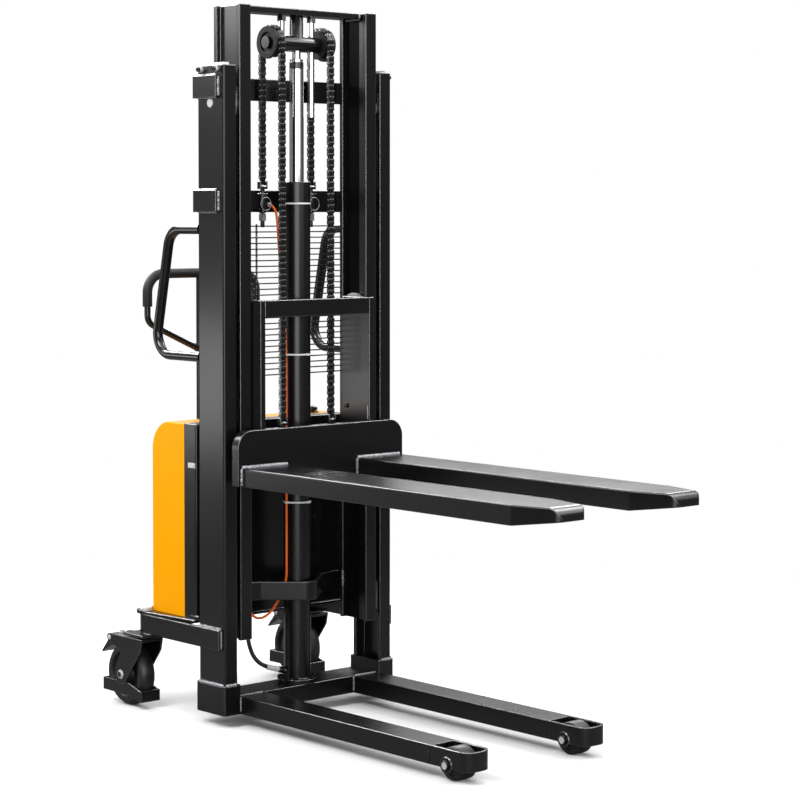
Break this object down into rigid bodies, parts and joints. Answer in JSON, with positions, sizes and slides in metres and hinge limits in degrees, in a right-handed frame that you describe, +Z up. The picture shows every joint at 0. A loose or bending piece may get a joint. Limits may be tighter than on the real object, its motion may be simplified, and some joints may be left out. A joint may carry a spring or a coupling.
{
  "type": "semi-electric stacker",
  "caption": "Walk-behind pallet stacker: telescopic mast on straddle legs, fork carriage raised by cylinder and chains, power pack and tiller behind",
  "frame": {"origin": "on the floor, under the middle of the machine's outer box", "axes": "+Z up, forks point to -Y, operator stands at +Y, X across the machine"},
  "size_m": [0.693, 1.738, 1.955],
  "materials": {
    "black_paint": "semi-gloss powder coat",
    "yellow_paint": "satin powder coat",
    "bright_steel": "turned",
    "oiled_steel": "oiled",
    "chrome": "polished",
    "bronze": "machined",
    "grip_rubber": "matte",
    "tyre": "satin",
    "orange_plastic": "smooth sheath",
    "knob_plastic": "moulded",
    "case_plastic": "moulded"
  },
  "bodies": {
    "chassis": {"mast_upright_left": "black_paint", "mast_upright_right": "black_paint", "foot_blocks": "black_paint", "base_crossbeam": "black_paint", "support_leg_left": "black_paint", "support_leg_right": "black_paint", "upper_crossbar": "black_paint", "middle_crossbar": "black_paint", "mesh_guard": "black_paint", "side_handle_left": "black_paint", "side_handle_right": "black_paint", "rear_frame": "black_paint", "deck_plate": "black_paint", "housing_case": "black_paint", "power_cover": "yellow_paint", "battery": "case_plastic", "pump_motor": "black_paint", "oil_tank": "bright_steel", "pump_block": "bright_steel", "cylinder_barrel": "black_paint", "rear_chain_anchors": "black_paint", "pressure_hose": "grip_rubber", "sensor_cable": "orange_plastic", "load_axles": "bright_steel", "mast_roller_pins": "bright_steel", "rear_chains": "oiled_steel"},
    "inner_mast": {"inner_beam_left": "black_paint", "inner_beam_right": "black_paint", "mast_top_beam": "black_paint", "lower_crossmember": "black_paint", "guide_rods": "bright_steel"},
    "crosshead": {"piston_rod": "chrome", "crosshead_bar": "black_paint", "chain_wraps": "oiled_steel"},
    "wheel_bushes": {"chain_wheel_bushes": "bronze"},
    "chain_wheels": {"chain_wheel_left": "oiled_steel", "chain_wheel_right": "oiled_steel"},
    "front_chain": {"front_chains": "oiled_steel"},
    "carriage": {"fork_plate": "black_paint", "carriage_sides": "black_paint", "carriage_top_bar": "black_paint", "fork_left": "black_paint", "fork_right": "black_paint", "front_chain_anchors": "black_paint"},
    "mast_rollers": {"mast_rollers": "bright_steel"},
    "inner_rollers": {"inner_rollers": "bright_steel"},
    "carriage_upper_rollers": {"carriage_upper_rollers": "bright_steel"},
    "carriage_lower_rollers": {"carriage_lower_rollers": "bright_steel"},
    "caster_left": {"caster_yoke_left": "black_paint"},
    "caster_right": {"caster_yoke_right": "black_paint"},
    "caster_wheel_left": {"caster_wheel_left": "tyre"},
    "caster_wheel_right": {"caster_wheel_right": "tyre"},
    "brake_left": {"brake_pedal_left": "black_paint"},
    "brake_right": {"brake_pedal_right": "black_paint"},
    "load_wheel_left": {"load_wheel_left": "tyre"},
    "load_wheel_right": {"load_wheel_right": "tyre"},
    "tiller": {"tiller_post": "black_paint", "tiller_rods": "black_paint", "tiller_grips": "grip_rubber"},
    "stop_button": {"stop_button": "knob_plastic"}
  },
  "joints": [
    {"name": "mast_lift", "type": "slide", "parent": "chassis", "child": "inner_mast", "axis": [0, 0, 1], "range_m": [-0.147, 0.76], "deforming": ["rear_chains", "front_chains"]},
    {"name": "free_lift", "type": "slide", "parent": "inner_mast", "child": "crosshead", "axis": [0, 0, 1], "range_m": [-0.159, 0], "deforming": ["rear_chains", "front_chains"]},
    {"name": "chain_run", "type": "slide", "parent": "crosshead", "child": "front_chain", "axis": [0, 0, 1], "range_m": [-0.147, 0.76]},
    {"name": "carriage_lift", "type": "slide", "parent": "front_chain", "child": "carriage", "axis": [0, 0, 1], "range_m": [-0.159, 0]},
    {"name": "wheel_turn", "type": "hinge", "parent": "crosshead", "child": "wheel_bushes", "pos_m": [0, 0.3925, 1.861], "axis": [1, 0, 0], "range_deg": [-199, 1012]},
    {"name": "wheel_turn_free", "type": "hinge", "parent": "wheel_bushes", "child": "chain_wheels", "pos_m": [0, 0.3925, 1.861], "axis": [1, 0, 0], "range_deg": [-214.9, 4]},
    {"name": "mast_roller_turn", "type": "hinge", "parent": "chassis", "child": "mast_rollers", "pos_m": [0, 0.3925, 1.689], "axis": [1, 0, 0], "range_deg": [-194.6, 989.2]},
    {"name": "inner_roller_turn", "type": "hinge", "parent": "inner_mast", "child": "inner_rollers", "pos_m": [0, 0.3925, 0.293], "axis": [1, 0, 0], "range_deg": [-182.4, 926.6]},
    {"name": "carriage_upper_roller_turn", "type": "hinge", "parent": "carriage", "child": "carriage_upper_rollers", "pos_m": [0, 0.3925, 1.122], "axis": [1, 0, 0], "range_deg": [-194.6, 989.2]},
    {"name": "carriage_lower_roller_turn", "type": "hinge", "parent": "carriage", "child": "carriage_lower_rollers", "pos_m": [0, 0.3925, 0.75], "axis": [1, 0, 0], "range_deg": [-194.6, 989.2]},
    {"name": "tiller_tilt", "type": "hinge", "parent": "chassis", "child": "tiller", "pos_m": [0, 0.828, 0.239], "axis": [-1, 0, 0], "range_deg": [0, 65], "stiffness_Nm_per_rad": 24, "springref_deg": -57.3},
    {"name": "stop_press", "type": "slide", "parent": "chassis", "child": "stop_button", "axis": [0, 0, -1], "range_m": [0, 0.006], "stiffness_N_per_m": 400, "springref_m": -0.005},
    {"name": "caster_swivel_left", "type": "hinge", "parent": "chassis", "child": "caster_left", "pos_m": [-0.304, 0.704, 0.203], "axis": [0, 0, 1], "continuous": true},
    {"name": "caster_roll_left", "type": "hinge", "parent": "caster_left", "child": "caster_wheel_left", "pos_m": [-0.304, 0.763, 0.09], "axis": [1, 0, 0], "continuous": true},
    {"name": "brake_press_left", "type": "hinge", "parent": "caster_left", "child": "brake_left", "pos_m": [-0.304, 0.818, 0.188], "axis": [-1, 0, 0], "range_deg": [0, 5], "stiffness_Nm_per_rad": 22, "springref_deg": -6.88},
    {"name": "load_roll_left", "type": "hinge", "parent": "chassis", "child": "load_wheel_left", "pos_m": [-0.206, -0.485, 0.042], "axis": [1, 0, 0], "continuous": true},
    {"name": "caster_swivel_right", "type": "hinge", "parent": "chassis", "child": "caster_right", "pos_m": [0.304, 0.704, 0.203], "axis": [0, 0, 1], "continuous": true},
    {"name": "caster_roll_right", "type": "hinge", "parent": "caster_right", "child": "caster_wheel_right", "pos_m": [0.304, 0.763, 0.09], "axis": [1, 0, 0], "continuous": true},
    {"name": "brake_press_right", "type": "hinge", "parent": "caster_right", "child": "brake_right", "pos_m": [0.304, 0.818, 0.188], "axis": [-1, 0, 0], "range_deg": [0, 5], "stiffness_Nm_per_rad": 22, "springref_deg": -6.88},
    {"name": "load_roll_right", "type": "hinge", "parent": "chassis", "child": "load_wheel_right", "pos_m": [0.206, -0.485, 0.042], "axis": [1, 0, 0], "continuous": true}
  ],
  "couplings": [
    {"joint": "chain_run", "follows": "mast_lift", "ratio": 1},
    {"joint": "carriage_lift", "follows": "free_lift", "ratio": 1},
    {"joint": "wheel_turn", "follows": "mast_lift", "rad_per_m": 23.148},
    {"joint": "wheel_turn_free", "follows": "free_lift", "rad_per_m": 23.148},
    {"joint": "mast_roller_turn", "follows": "mast_lift", "rad_per_m": 22.624},
    {"joint": "inner_roller_turn", "follows": "mast_lift", "rad_per_m": 21.186},
    {"joint": "carriage_upper_roller_turn", "follows": "mast_lift", "rad_per_m": 22.624},
    {"joint": "carriage_lower_roller_turn", "follows": "mast_lift", "rad_per_m": 22.624}
  ]
}
